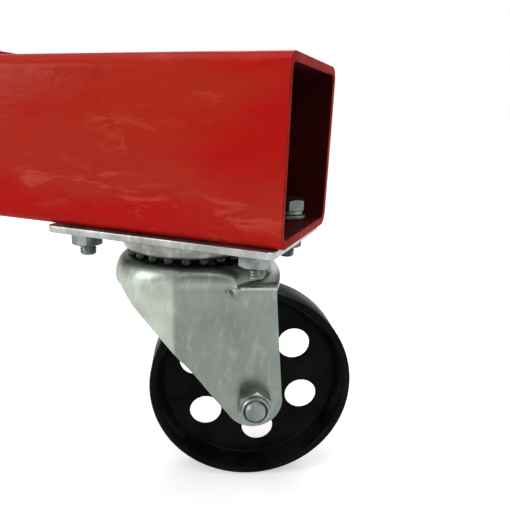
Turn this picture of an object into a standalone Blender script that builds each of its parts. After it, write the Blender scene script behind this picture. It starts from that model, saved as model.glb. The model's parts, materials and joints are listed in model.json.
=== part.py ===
"""Portable gantry crane: two wheeled side frames, telescoping posts and a lifting beam.

Metres, +Z up, origin on the floor under the middle of the crane. The base beams run along X
and the lifting beam spans along Y. Each caster is drawn once in its own frame, with its
kingpin on Z, the underside of the base beam at height zero and the wheel trailing along +X,
and is then placed at the four beam ends.
"""

import math

import bmesh
import bpy
from mathutils import Matrix

MM = 0.001

# Fits
TOUCH = 0.3 * MM  # gap between pieces that rest on each other
BORE_CLEARANCE = 0.3 * MM  # radial play of a pin, bolt or bushing in its hole
BOLT_HOLE_CLEARANCE = 0.5 * MM  # radial play of a plate bolt
POST_CLEARANCE = 1.0 * MM  # play between the telescoping posts, each side
JOIN = 0.5 * MM  # how far pieces that are welded into one solid run into each other

# Side frames
SPAN = 2.000  # between the middles of the two base beams
BASE_LENGTH = 1.300
BASE_SIDE = 0.090
BASE_WALL = 4.5 * MM
TUBE_CORNER = 5.0 * MM
POST_SIDE = 0.080
POST_WALL = 4.0 * MM
POST_TOP = 1.550  # above the floor
POST_FLANGE_LENGTH = 0.160
FLANGE_THICKNESS = 8.0 * MM
BRACE_SIDE = 0.040
BRACE_WALL = 3.0 * MM
BRACE_FOOT = 0.400  # from the post's middle to the brace's lower end
BRACE_HEAD_HEIGHT = 0.600  # from the top of the base beam to the brace's upper end
BRACE_TAB_LENGTH = 0.090
BRACE_TAB_WIDTH = 0.060
BRACE_TAB_THICKNESS = 6.0 * MM
BRACE_VENT_RADIUS = 4.0 * MM
BRACE_VENT_RISE = 0.060  # of the vent hole above the base beam

# Lifting frame
INNER_WALL = 4.0 * MM
INNER_LENGTH = 0.950
INNER_RISE = 0.100  # the inner post stands this far out of the outer one at rest
HOLE_PITCH = 0.100
HOLE_COUNT = 7
PIN_RADIUS = 8.0 * MM
PIN_DROP = 0.060  # from the outer post's top to the pin
PIN_OVERHANG = 0.020  # of the pin's tip beyond the post
PIN_COLLAR_RADIUS = 14.0 * MM
PIN_COLLAR_THICKNESS = 8.0 * MM
PIN_HANDLE_RADIUS = 5.0 * MM
PIN_HANDLE_LENGTH = 0.060
PIN_NECK = 0.016  # from the collar to the handle's middle
SADDLE_LENGTH = 0.200
SADDLE_WIDTH = 0.120
SADDLE_THICKNESS = 8.0 * MM
BEAM_OVERHANG = 0.150  # of the lifting beam beyond each post's middle
BEAM_HEIGHT = 0.140
BEAM_WIDTH = 0.073
BEAM_WEB = 4.7 * MM
BEAM_FLANGE = 7.8 * MM  # flange thickness at the web
BEAM_FLANGE_EDGE = 5.8 * MM
BEAM_FILLET = 7.0 * MM
STOP_INSET = 0.040  # of a trolley stop from the beam's end
STOP_RISE = 0.035  # of a trolley stop above the lower flange
STOP_RADIUS = 8.0 * MM
STOP_LENGTH = 0.100
STOP_NUT_FLATS = 24.0 * MM
STOP_NUT_HEIGHT = 13.0 * MM

# Casters
KINGPIN_INSET = 0.0712  # from the base beam's end to the kingpin
PARKED_ANGLE = 26.0  # degrees between a caster's trail and its base beam
TRAIL = 39.4 * MM
PLATE_LENGTH = 0.136
PLATE_THICKNESS = 4.0 * MM
PLATE_CORNER = 4.0 * MM
BOLT_SPACING_X = 0.106
BOLT_TO_WALL = 13.5 * MM  # from a plate bolt's middle to the tube's side wall
BOLT_SPACING_Y = BASE_SIDE - 2 * (BASE_WALL + BOLT_TO_WALL)
BOLT_RADIUS = 5.0 * MM
BOLT_FLATS = 17.0 * MM
BOLT_HEAD = 6.4 * MM
BOLT_NUT = 8.4 * MM
BOLT_REACH = 18.5 * MM  # of the bolt's tip below the base beam
WASHER_RADIUS = 10.0 * MM
WASHER_THICKNESS = 2.0 * MM
NUT_WASHER_THICKNESS = 1.0 * MM
RACE_RADIUS = 38.7 * MM
RACE_LIP_RADIUS = 36.8 * MM
RACE_WALL = 3.0 * MM
RACE_DEPTH = 9.0 * MM  # of the upper race below the plate
BALL_RING_RADIUS = 32.5 * MM
BALL_RADIUS = 2.8 * MM
CROWN_TOP_RADIUS = 36.0 * MM
CROWN_RADIUS = 44.0 * MM
CROWN_HEIGHT = 11.0 * MM
SHEET = 3.5 * MM  # thickness of the fork
KINGPIN_RADIUS = 6.0 * MM
KINGPIN_HEAD_RADIUS = 10.0 * MM
KINGPIN_HEAD_HEIGHT = 6.0 * MM
ROOF_BELOW_CROWN = 8.0 * MM  # from the crown's top to the fork's flat roof
FORK_GAP = 0.056  # between the fork's legs
LEG_BACK = 38.0 * MM  # from the kingpin to the leg's rear edge, at the top
LEG_FRONT = 49.0 * MM  # from the kingpin to the leg's front edge, at the top
LEG_SHOULDER = 4.5 * MM  # height of the leg's upright part at the top
LEG_END_RADIUS = 17.0 * MM
LEG_FLARE = 9.5 * MM  # how much further out each leg stands at the roof than at the axle
LEG_FLARE_HEIGHT = 55.0 * MM  # of the leaning part, below the roof's top
SKIRT_STEP = 1.5 * MM  # of a leg's round back in from the crown
WHEEL_RADIUS = 63.5 * MM
WHEEL_TOP_GAP = 9.3 * MM  # between the tread and the fork's roof
TREAD_WIDTH = 31.0 * MM
TREAD_EDGE = 2.5 * MM
RIM_LIP = 3.5 * MM  # rim thickness at its edge
RIM_ROOT = 9.0 * MM  # rim thickness at the web
WEB_THICKNESS = 6.0 * MM
HUB_RADIUS = 15.5 * MM
HUB_SIDE_PLAY = 0.5 * MM
WHEEL_HOLES = 6
WHEEL_HOLE_RADIUS = 9.8 * MM
WHEEL_HOLE_CIRCLE = 36.8 * MM
WHEEL_HOLE_ANGLE = 40.6  # degrees from the trail to the first hole
BUSHING_RADIUS = 8.0 * MM
AXLE_RADIUS = 6.0 * MM
AXLE_FLATS = 18.0 * MM
AXLE_HEAD = 7.5 * MM
AXLE_NUT = 12.0 * MM
AXLE_TIP = 2.0 * MM  # of the axle bolt beyond its nut

# Heights in a caster's own frame, downwards from the base beam
PLATE_TOP_Z = -TOUCH
PLATE_BOTTOM_Z = PLATE_TOP_Z - PLATE_THICKNESS
RACE_BOTTOM_Z = PLATE_BOTTOM_Z - RACE_DEPTH
BALL_BOTTOM_Z = RACE_BOTTOM_Z - 1.2 * BALL_RADIUS
CROWN_TOP_Z = BALL_BOTTOM_Z - TOUCH
ROOF_TOP_Z = CROWN_TOP_Z - ROOF_BELOW_CROWN
ROOF_UNDER_Z = ROOF_TOP_Z - SHEET
AXLE_Z = ROOF_UNDER_Z - WHEEL_TOP_GAP - WHEEL_RADIUS
HALF_GAP = FORK_GAP / 2
LEG_OUTSIDE = HALF_GAP + SHEET

# Heights in the crane's frame
BASE_BOTTOM = WHEEL_RADIUS - AXLE_Z
BASE_TOP = BASE_BOTTOM + BASE_SIDE
FLANGE_TOP = BASE_TOP + TOUCH + FLANGE_THICKNESS
PIN_Z = POST_TOP - PIN_DROP
INNER_SIDE = POST_SIDE - 2 * (POST_WALL + POST_CLEARANCE)
SADDLE_Z = POST_TOP + INNER_RISE
BEAM_BOTTOM = SADDLE_Z + SADDLE_THICKNESS + TOUCH
BEAM_LENGTH = SPAN + 2 * BEAM_OVERHANG

CORNER_STEPS = 3
ROUND = 10  # sides of a small hole or shank
TURN = 20  # sides of a turned swivel piece
WHEEL_TURN = 32

CRANE = bpy.data.collections.new("portable_gantry_crane")
CUTTERS = bpy.data.collections.new("cutters")


# Scene

def clear_scene():
    for obj in list(bpy.data.objects):
        bpy.data.objects.remove(obj, do_unlink=True)
    for collection in (CRANE, CUTTERS):
        bpy.context.scene.collection.children.link(collection)
    CUTTERS.hide_render = True


def material(name, colour, roughness, metallic):
    found = bpy.data.materials.new(name)
    found.use_nodes = True
    shader = found.node_tree.nodes["Principled BSDF"]
    shader.inputs["Base Color"].default_value = (*colour, 1.0)
    shader.inputs["Roughness"].default_value = roughness
    shader.inputs["Metallic"].default_value = metallic
    return found


def empty(name, location, angle=0.0, parent=None):
    found = bpy.data.objects.new(name, None)
    found.empty_display_size = 0.05
    found.location = location
    found.rotation_euler = (0.0, 0.0, math.radians(angle))
    found.parent = parent
    CRANE.objects.link(found)
    return found


def place(name, mesh, look, location=(0.0, 0.0, 0.0), angle=0.0, parent=None):
    """A named part that shows this mesh in its own material."""
    found = bpy.data.objects.new(name, mesh)
    found.location = location
    found.rotation_euler = (0.0, 0.0, math.radians(angle))
    found.parent = parent
    CRANE.objects.link(found)
    if not mesh.materials:
        mesh.materials.append(None)
    found.material_slots[0].link = "OBJECT"
    found.material_slots[0].material = material(name, *look)
    return found


# Shapes, each a helper object in the cutters' collection until its mesh is read

def helper(name, data):
    found = bpy.data.objects.new(name, data)
    found.hide_render = True
    found.display_type = "WIRE"
    CUTTERS.objects.link(found)
    return found


def box(low, high):
    """A box between two corners."""
    size = [b - a for a, b in zip(low, high)]
    middle = [(a + b) / 2 for a, b in zip(low, high)]
    work = bmesh.new()
    bmesh.ops.create_cube(work, size=1.0, matrix=Matrix.Translation(middle) @ Matrix.Diagonal((*size, 1.0)))
    mesh = bpy.data.meshes.new("box")
    work.to_mesh(mesh)
    work.free()
    return helper("box", mesh)


def rod(radius, start, end, axis="Z", middle=(0.0, 0.0, 0.0), sides=ROUND, turn=0.0):
    """A cylinder or prism along an axis, from start to end on that axis."""
    upright = Matrix.Translation((0.0, 0.0, (start + end) / 2)) @ Matrix.Rotation(math.radians(turn), 4, "Z")
    lay = {
        "X": Matrix.Rotation(math.radians(90), 4, "Y"),
        "Y": Matrix.Rotation(math.radians(-90), 4, "X"),
        "Z": Matrix.Identity(4),
    }[axis]
    work = bmesh.new()
    bmesh.ops.create_cone(
        work,
        cap_ends=True,
        segments=sides,
        radius1=radius,
        radius2=radius,
        depth=end - start,
        matrix=Matrix.Translation(middle) @ lay @ upright,
    )
    mesh = bpy.data.meshes.new("rod")
    work.to_mesh(mesh)
    work.free()
    return helper("rod", mesh)


def hexagon(flats, start, end, axis="Z", middle=(0.0, 0.0, 0.0), turn=0.0):
    return rod(flats / math.sqrt(3), start, end, axis, middle, sides=6, turn=turn)


def turned(profile, steps=TURN):
    """A solid of revolution about Z. The profile runs down its outer side and back up the inner."""
    mesh = bpy.data.meshes.new("profile")
    last = len(profile) - 1
    edges = [(i, i + 1) for i in range(last)]
    if profile[0][0] > 0.0:
        edges.append((last, 0))
    mesh.from_pydata([(r, 0.0, z) for r, z in profile], edges, [])
    found = helper("turned", mesh)
    screw = found.modifiers.new("screw", "SCREW")
    screw.axis = "Z"
    screw.steps = steps
    screw.render_steps = steps
    screw.use_merge_vertices = True
    screw.merge_threshold = 0.00001
    return found


def arc(middle, radius, start, end, steps):
    """Points on an arc, angles in degrees."""
    points = []
    for i in range(steps + 1):
        angle = math.radians(start + (end - start) * i / steps)
        points.append((middle[0] + radius * math.cos(angle), middle[1] + radius * math.sin(angle)))
    return points


def rounded_rectangle(length, width, corner):
    points = []
    for turn, (sx, sy) in zip((0, 90, 180, 270), ((1, 1), (-1, 1), (-1, -1), (1, -1))):
        middle = (sx * (length / 2 - corner), sy * (width / 2 - corner))
        points += arc(middle, corner, turn, turn + 90, CORNER_STEPS)
    return points


def extruded(loops, start, end):
    """A flat outline, with any inner loops as holes, drawn out along Z from start to end."""
    curve = bpy.data.curves.new("outline", "CURVE")
    curve.dimensions = "2D"
    curve.fill_mode = "BOTH"
    curve.extrude = (end - start) / 2
    for loop in loops:
        spline = curve.splines.new("POLY")
        spline.points.add(len(loop) - 1)
        for point, (x, y) in zip(spline.points, loop):
            point.co = (x, y, 0.0, 1.0)
        spline.use_cyclic_u = True
    found = helper("outline", curve)
    mesh = read(found)
    mesh.transform(Matrix.Translation((0.0, 0.0, (start + end) / 2)))
    return helper("extruded", mesh)


def boolean(target, others, operation):
    for other in others:
        step = target.modifiers.new(operation.lower(), "BOOLEAN")
        step.operation = operation
        step.solver = "EXACT"
        step.object = other
    return target


def cut(target, *others):
    return boolean(target, others, "DIFFERENCE")


def join(target, *others):
    return boolean(target, others, "UNION")


def turned_about(found, angle, axis):
    found.data.transform(Matrix.Rotation(math.radians(angle), 4, axis))
    return found


def read(found):
    """The finished mesh of a helper, which is removed with everything it was cut or joined with."""
    used = [step.object for step in found.modifiers if step.type == "BOOLEAN"]
    bpy.context.view_layer.update()
    graph = bpy.context.evaluated_depsgraph_get()
    mesh = bpy.data.meshes.new_from_object(found.evaluated_get(graph))
    work = bmesh.new()
    work.from_mesh(mesh)
    bmesh.ops.remove_doubles(work, verts=work.verts, dist=0.000001)
    bmesh.ops.recalc_face_normals(work, faces=work.faces)
    work.to_mesh(mesh)
    work.free()
    for obj in [found, *used]:
        bpy.data.objects.remove(obj, do_unlink=True)
    return mesh


def smoothed(mesh, angle=35.0):
    mesh.shade_smooth()
    mesh.set_sharp_from_angle(angle=math.radians(angle))
    return mesh


def square_tube(side, wall, start, end):
    """Square hollow section along Z."""
    inner = side - 2 * wall
    inner_corner = max(TUBE_CORNER - wall, 0.2 * TUBE_CORNER)
    outside = rounded_rectangle(side, side, TUBE_CORNER)
    inside = rounded_rectangle(inner, inner, inner_corner)
    return extruded([outside, inside], start, end)


# Side frame pieces

def bolt_places():
    """The four plate bolts, measured from the kingpin."""
    return [
        (sx * BOLT_SPACING_X / 2, sy * BOLT_SPACING_Y / 2)
        for sx, sy in ((1, 1), (-1, 1), (-1, -1), (1, -1))
    ]


def base_beam_mesh():
    """Along X, middle of the section on the axis, with the plate bolts' holes in its underside."""
    half = BASE_LENGTH / 2
    tube = turned_about(square_tube(BASE_SIDE, BASE_WALL, -half, half), 90, "Y")
    radius = BOLT_RADIUS + BOLT_HOLE_CLEARANCE
    drills = []
    for end in (-1, 1):
        for x, y in bolt_places():
            middle = (end * (half - KINGPIN_INSET) + x, y, 0.0)
            drills.append(rod(radius, -BASE_SIDE, -BASE_SIDE / 4, middle=middle))
    return read(cut(tube, *drills))


def outer_post_mesh():
    """Height above the floor, on Z, with its welded foot flange and the lock pin's hole."""
    post = square_tube(POST_SIDE, POST_WALL, FLANGE_TOP - JOIN, POST_TOP)
    half = POST_FLANGE_LENGTH / 2
    flange = box((-half, -BASE_SIDE / 2, BASE_TOP + TOUCH), (half, BASE_SIDE / 2, FLANGE_TOP))
    hole = rod(PIN_RADIUS + BORE_CLEARANCE, -POST_SIDE, POST_SIDE, "X", (0.0, 0.0, PIN_Z))
    return read(cut(join(post, flange), hole))


def brace_mesh():
    """From the base beam up to the post, leaning towards -X from its foot at +X."""
    foot_z = BASE_TOP + TOUCH
    foot_top = foot_z + BRACE_TAB_THICKNESS
    face_x = POST_SIDE / 2 + TOUCH
    head_z = BASE_TOP + BRACE_HEAD_HEIGHT
    run = BRACE_FOOT - face_x
    rise = head_z - foot_z
    lean = math.degrees(math.atan2(run, rise))
    length = math.hypot(run, rise)
    tube = square_tube(BRACE_SIDE, BRACE_WALL, -BRACE_SIDE, length + BRACE_SIDE)
    tube.data.transform(Matrix.Rotation(math.radians(-lean), 4, "Y"))
    tube.data.transform(Matrix.Translation((BRACE_FOOT, 0.0, foot_z)))
    reach = 4 * BRACE_SIDE
    below = box((0.0, -reach, foot_top - reach), (2 * BRACE_FOOT, reach, foot_top - JOIN))
    head_face = face_x + BRACE_TAB_THICKNESS
    beyond = box((head_face - JOIN - reach, -reach, 0.0), (head_face - JOIN, reach, POST_TOP))
    half_width = BRACE_TAB_WIDTH / 2
    half_length = BRACE_TAB_LENGTH / 2
    foot = box(
        (BRACE_FOOT - half_length, -half_width, foot_z),
        (BRACE_FOOT + half_length, half_width, foot_top),
    )
    head = box(
        (face_x, -half_width, head_z - half_length),
        (head_face, half_width, head_z + half_length),
    )
    vent_place = (BRACE_FOOT - BRACE_VENT_RISE * run / rise, 0.0, foot_z + BRACE_VENT_RISE)
    vent = rod(BRACE_VENT_RADIUS, 0.0, BRACE_SIDE, "Y", vent_place)
    return read(join(cut(tube, below, beyond, vent), foot, head))


# Lifting frame pieces

def inner_post_mesh():
    """Height above the floor, on Z, with its row of pin holes and its welded saddle plate."""
    post = square_tube(INNER_SIDE, INNER_WALL, SADDLE_Z - INNER_LENGTH, SADDLE_Z + JOIN)
    saddle = box(
        (-SADDLE_WIDTH / 2, -SADDLE_LENGTH / 2, SADDLE_Z),
        (SADDLE_WIDTH / 2, SADDLE_LENGTH / 2, SADDLE_Z + SADDLE_THICKNESS),
    )
    drills = []
    for i in range(HOLE_COUNT):
        middle = (0.0, 0.0, PIN_Z - i * HOLE_PITCH)
        drills.append(rod(PIN_RADIUS + BORE_CLEARANCE, -POST_SIDE, POST_SIDE, "X", middle))
    return read(cut(join(post, saddle), *drills))


def top_beam_mesh():
    """Rolled I section along Y, standing on the saddles, with a hole for each trolley stop."""
    edge = BEAM_WIDTH / 2
    top = BEAM_HEIGHT / 2
    shelf = top - BEAM_FLANGE
    web = BEAM_WEB / 2
    middle = (web + BEAM_FILLET, shelf - BEAM_FILLET)
    fillet = arc(middle, BEAM_FILLET, 90, 180, CORNER_STEPS)
    quarter = [(edge, top), (edge, top - BEAM_FLANGE_EDGE), *fillet]
    right = quarter + [(x, -z) for x, z in reversed(quarter)]
    left = [(-x, -z) for x, z in right]
    half = BEAM_LENGTH / 2
    beam = turned_about(extruded([right + left], -half, half), 90, "X")
    beam.data.transform(Matrix.Translation((0.0, 0.0, BEAM_BOTTOM + BEAM_HEIGHT / 2)))
    drills = []
    for side in (-1, 1):
        middle = (0.0, side * (half - STOP_INSET), BEAM_BOTTOM + BEAM_FLANGE + STOP_RISE)
        drills.append(rod(STOP_RADIUS + BORE_CLEARANCE, -BEAM_WIDTH, BEAM_WIDTH, "X", middle))
    return read(cut(beam, *drills))


def trolley_stop_mesh():
    """A stud through the beam's web, along X, with a nut on each side."""
    stud = rod(STOP_RADIUS, -STOP_LENGTH / 2, STOP_LENGTH / 2, "X")
    face = BEAM_WEB / 2 + TOUCH
    nuts = [
        hexagon(STOP_NUT_FLATS, face, face + STOP_NUT_HEIGHT, "X"),
        hexagon(STOP_NUT_FLATS, -face - STOP_NUT_HEIGHT, -face, "X"),
    ]
    return smoothed(read(join(stud, *nuts)))


def lock_pin_mesh():
    """Along X through both posts, with a collar and a cross handle on its +X end."""
    face = POST_SIDE / 2 + TOUCH
    collar_end = face + PIN_COLLAR_THICKNESS
    handle_x = collar_end + PIN_NECK
    pin = rod(PIN_RADIUS, -POST_SIDE / 2 - PIN_OVERHANG, handle_x, "X")
    collar = rod(PIN_COLLAR_RADIUS, face, collar_end, "X", sides=TURN)
    half = PIN_HANDLE_LENGTH / 2
    handle = rod(PIN_HANDLE_RADIUS, -half, half, "Y", (handle_x, 0.0, 0.0))
    return smoothed(read(join(pin, collar, handle)))


# Caster pieces

def top_plate_mesh():
    """Plate, pressed upper race and the ring of balls that it holds."""
    plate = extruded(
        [rounded_rectangle(PLATE_LENGTH, BASE_SIDE, PLATE_CORNER)], PLATE_BOTTOM_Z, PLATE_TOP_Z
    )
    inner = BALL_RING_RADIUS - BALL_RADIUS
    outer = BALL_RING_RADIUS + BALL_RADIUS
    middle = (BALL_RING_RADIUS, BALL_BOTTOM_Z + BALL_RADIUS)
    balls = arc(middle, BALL_RADIUS, -35, -145, 2)
    race = turned(
        [
            (RACE_RADIUS, PLATE_BOTTOM_Z + JOIN),
            (RACE_RADIUS, (PLATE_BOTTOM_Z + RACE_BOTTOM_Z) / 2),
            (RACE_LIP_RADIUS, RACE_BOTTOM_Z),
            (outer, RACE_BOTTOM_Z),
            *balls,
            (inner, RACE_BOTTOM_Z),
            (inner - RACE_WALL, RACE_BOTTOM_Z + RACE_WALL),
            (inner - RACE_WALL, PLATE_BOTTOM_Z + JOIN),
        ]
    )
    drills = [rod(KINGPIN_RADIUS + BORE_CLEARANCE, PLATE_BOTTOM_Z * 2, -PLATE_BOTTOM_Z)]
    for x, y in bolt_places():
        radius = BOLT_RADIUS + BOLT_HOLE_CLEARANCE
        drills.append(rod(radius, PLATE_BOTTOM_Z * 2, -PLATE_BOTTOM_Z, middle=(x, y, 0.0)))
    return smoothed(read(cut(join(plate, read_as_helper(race)), *drills)))


def read_as_helper(found):
    """A turned shape made solid, ready to be joined or cut."""
    return helper("solid", read(found))


def kingpin_mesh():
    """Rivet that hangs the fork under the plate, its head closed below the crown."""
    head_top = CROWN_TOP_Z - SHEET - TOUCH
    shank = rod(KINGPIN_RADIUS, head_top - KINGPIN_HEAD_HEIGHT, PLATE_TOP_Z - TOUCH)
    head = rod(KINGPIN_HEAD_RADIUS, head_top - KINGPIN_HEAD_HEIGHT, head_top, sides=TURN)
    return smoothed(read(join(shank, head)))


def tangent_angle(middle, radius, outside, side):
    """Degrees round a circle to where a line from an outside point touches it, on side +1 or -1."""
    dx = outside[0] - middle[0]
    dz = outside[1] - middle[1]
    return math.degrees(math.atan2(dz, dx) + side * math.acos(radius / math.hypot(dx, dz)))


def leg_outline():
    """The fork from the side: roof line, shoulders and the round end about the axle."""
    axle = (TRAIL, AXLE_Z)
    rear = (-LEG_BACK, ROOF_TOP_Z - LEG_SHOULDER)
    front = (LEG_FRONT, ROOF_TOP_Z - LEG_SHOULDER)
    start = tangent_angle(axle, LEG_END_RADIUS, rear, 1)
    end = tangent_angle(axle, LEG_END_RADIUS, front, -1)
    bottom = arc(axle, LEG_END_RADIUS, start, end + 360, 8)
    return [(-LEG_BACK, ROOF_TOP_Z), rear, *bottom, front, (LEG_FRONT, ROOF_TOP_Z)]


def fork_room(half, top, radius):
    """Space between the fork's faces: upright low down, leaning out to the roof, round at the back."""
    reach = 2 * WHEEL_RADIUS
    low = AXLE_Z - reach
    bend = ROOF_TOP_Z - LEG_FLARE_HEIGHT
    wide = half + LEG_FLARE * (top - bend) / LEG_FLARE_HEIGHT
    section = [
        (-low, -half),
        (-low, half),
        (-bend, half),
        (-top, wide),
        (-top, -wide),
        (-bend, -half),
    ]
    room = turned_about(extruded([section], -reach, reach), 90, "Y")
    back = rod(radius, low - JOIN, top + JOIN, sides=TURN)
    front = box((0.0, -reach, low - JOIN), (reach + JOIN, reach, top + JOIN))
    boolean(room, [join(back, front)], "INTERSECT")
    return read_as_helper(room)


def fork_mesh():
    """Pressed fork: round crown over the kingpin, flat roof and two legs down to the axle."""
    back = CROWN_RADIUS - SKIRT_STEP
    legs = turned_about(extruded([leg_outline()], -CROWN_RADIUS, CROWN_RADIUS), 90, "X")
    boolean(legs, [fork_room(LEG_OUTSIDE, ROOF_TOP_Z + JOIN, back)], "INTERSECT")
    skirt_z = CROWN_TOP_Z - CROWN_HEIGHT - SHEET
    crown = turned(
        [
            (0.0, CROWN_TOP_Z),
            (CROWN_TOP_RADIUS, CROWN_TOP_Z),
            (CROWN_RADIUS - 2.0 * MM, CROWN_TOP_Z - 0.35 * CROWN_HEIGHT),
            (CROWN_RADIUS, CROWN_TOP_Z - 0.75 * CROWN_HEIGHT),
            (CROWN_RADIUS - 1.0 * MM, skirt_z),
            (0.0, skirt_z),
        ]
    )
    between = fork_room(HALF_GAP, ROOF_UNDER_Z, back - SHEET)
    hollow = HALF_GAP + LEG_FLARE * (1 - SHEET / LEG_FLARE_HEIGHT)
    under = rod(hollow, skirt_z - JOIN, CROWN_TOP_Z - SHEET, sides=TURN)
    pin_hole = rod(KINGPIN_RADIUS + BORE_CLEARANCE, AXLE_Z / 2, 0.0)
    reach = 2 * WHEEL_RADIUS
    axle_hole = rod(AXLE_RADIUS + BORE_CLEARANCE, -reach, reach, "Y", (TRAIL, 0.0, AXLE_Z))
    return smoothed(
        read(cut(join(legs, read_as_helper(crown)), between, under, pin_hole, axle_hole))
    )


def wheel_mesh():
    """Cast wheel about its own middle, axle along Y, six round holes in its web."""
    half = TREAD_WIDTH / 2
    web = WEB_THICKNESS / 2
    hub = HALF_GAP - HUB_SIDE_PLAY
    bore = BUSHING_RADIUS + BORE_CLEARANCE
    side = [
        (WHEEL_RADIUS, half - TREAD_EDGE),
        (WHEEL_RADIUS - TREAD_EDGE, half),
        (WHEEL_RADIUS - TREAD_EDGE - RIM_LIP, half),
        (WHEEL_RADIUS - RIM_ROOT, web),
        (HUB_RADIUS, web),
        (HUB_RADIUS, hub),
        (bore, hub),
    ]
    profile = side[:1] + [(r, -z) for r, z in side] + list(reversed(side[1:]))
    wheel = read_as_helper(turned(profile, WHEEL_TURN))
    drills = []
    for i in range(WHEEL_HOLES):
        angle = math.radians(WHEEL_HOLE_ANGLE + 360 * i / WHEEL_HOLES)
        middle = (WHEEL_HOLE_CIRCLE * math.cos(angle), -WHEEL_HOLE_CIRCLE * math.sin(angle), 0.0)
        drills.append(rod(WHEEL_HOLE_RADIUS, -half, half, middle=middle))
    mesh = read(cut(wheel, *drills))
    mesh.transform(Matrix.Rotation(math.radians(-90), 4, "X"))
    return smoothed(mesh)


def bushing_mesh():
    """Plain bushing about its own middle, axle along Y, clamped between the legs."""
    half = HALF_GAP - TOUCH
    tube = rod(BUSHING_RADIUS, -half, half, "Y")
    bore = rod(AXLE_RADIUS + BORE_CLEARANCE, -FORK_GAP, FORK_GAP, "Y")
    return smoothed(read(cut(tube, bore)))


def axle_bolt_mesh():
    """Hexagon bolt along Y about the axle's middle, tip at -Y."""
    tip = -(LEG_OUTSIDE + TOUCH + AXLE_NUT + AXLE_TIP)
    seat = LEG_OUTSIDE + TOUCH
    shank = rod(AXLE_RADIUS, tip, seat + JOIN, "Y")
    return smoothed(read(join(shank, hexagon(AXLE_FLATS, seat, seat + AXLE_HEAD, "Y"))))


def axle_nut_mesh():
    seat = -(LEG_OUTSIDE + TOUCH)
    nut = hexagon(AXLE_FLATS, seat - AXLE_NUT, seat, "Y")
    bore = rod(AXLE_RADIUS + BORE_CLEARANCE, -FORK_GAP, 0.0, "Y")
    return smoothed(read(cut(nut, bore)))


def plate_bolt_mesh():
    """Bolt down through beam and plate, with its washers and nut."""
    floor = BASE_WALL + TOUCH
    washer_top = floor + WASHER_THICKNESS
    seat = PLATE_BOTTOM_Z - TOUCH
    nut_top = seat - NUT_WASHER_THICKNESS
    shank = rod(BOLT_RADIUS, -BOLT_REACH, washer_top)
    return smoothed(
        read(
            join(
                shank,
                rod(WASHER_RADIUS, floor, washer_top),
                hexagon(BOLT_FLATS, washer_top - JOIN, washer_top + BOLT_HEAD),
                rod(WASHER_RADIUS, nut_top, seat),
                hexagon(BOLT_FLATS, nut_top - BOLT_NUT, nut_top + JOIN),
            )
        )
    )


# Looks: colour, roughness, metallic

RED = ((0.55, 0.012, 0.010), 0.25, 0.0)
ZINC = ((0.62, 0.64, 0.63), 0.32, 0.9)
BOLT_ZINC = ((0.55, 0.58, 0.60), 0.35, 0.9)
BLACK_IRON = ((0.012, 0.012, 0.013), 0.35, 0.2)
STEEL = ((0.50, 0.50, 0.50), 0.35, 1.0)


def build_side(side, y):
    """One side frame: base beam, post and a brace towards each end."""
    place(f"base_beam_{side}", MESH["base_beam"], RED, (0.0, y, BASE_BOTTOM + BASE_SIDE / 2))
    place(f"outer_post_{side}", MESH["outer_post"], RED, (0.0, y, 0.0))
    for end, angle in (("right", 0.0), ("left", 180.0)):
        place(f"brace_{side}_{end}", MESH["brace"], RED, (0.0, y, 0.0), angle)


def build_lift(side, y):
    """What rises with the lifting beam on one side, and the pin that locks it."""
    place(f"inner_post_{side}", MESH["inner_post"], RED, (0.0, y, 0.0))
    outward = math.copysign(1.0, y)
    stop_y = outward * (BEAM_LENGTH / 2 - STOP_INSET)
    stop_z = BEAM_BOTTOM + BEAM_FLANGE + STOP_RISE
    place(f"trolley_stop_{side}", MESH["trolley_stop"], BOLT_ZINC, (0.0, stop_y, stop_z))
    pin_joint = empty(f"lock_pin_{side}_joint", (0.0, y, PIN_Z))
    place(f"lock_pin_{side}", MESH["lock_pin"], BOLT_ZINC, parent=pin_joint)


def build_caster(letter, end, y, trail_angle):
    """A caster under one end of a base beam, its wheel parked at the angle given."""
    name = f"caster_{letter}"
    x = end * (BASE_LENGTH / 2 - KINGPIN_INSET)
    mount = empty(f"{name}_mount", (x, y, BASE_BOTTOM))
    place(f"{name}_top_plate", MESH["top_plate"], ZINC, parent=mount)
    place(f"{name}_kingpin", MESH["kingpin"], STEEL, parent=mount)
    for i, (bolt_x, bolt_y) in enumerate(bolt_places(), 1):
        place(
            f"{name}_plate_bolt_{i}", MESH["plate_bolt"], BOLT_ZINC, (bolt_x, bolt_y, 0.0), parent=mount
        )
    swivel = empty(f"{name}_swivel", (0.0, 0.0, 0.0), trail_angle, mount)
    place(f"{name}_fork", MESH["fork"], ZINC, parent=swivel)
    axle = empty(f"{name}_axle", (TRAIL, 0.0, AXLE_Z), parent=swivel)
    place(f"{name}_wheel", MESH["wheel"], BLACK_IRON, parent=axle)
    place(f"{name}_hub_bushing", MESH["bushing"], STEEL, parent=axle)
    place(f"{name}_axle_bolt", MESH["axle_bolt"], BOLT_ZINC, parent=axle)
    place(f"{name}_axle_nut", MESH["axle_nut"], BOLT_ZINC, parent=axle)


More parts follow.
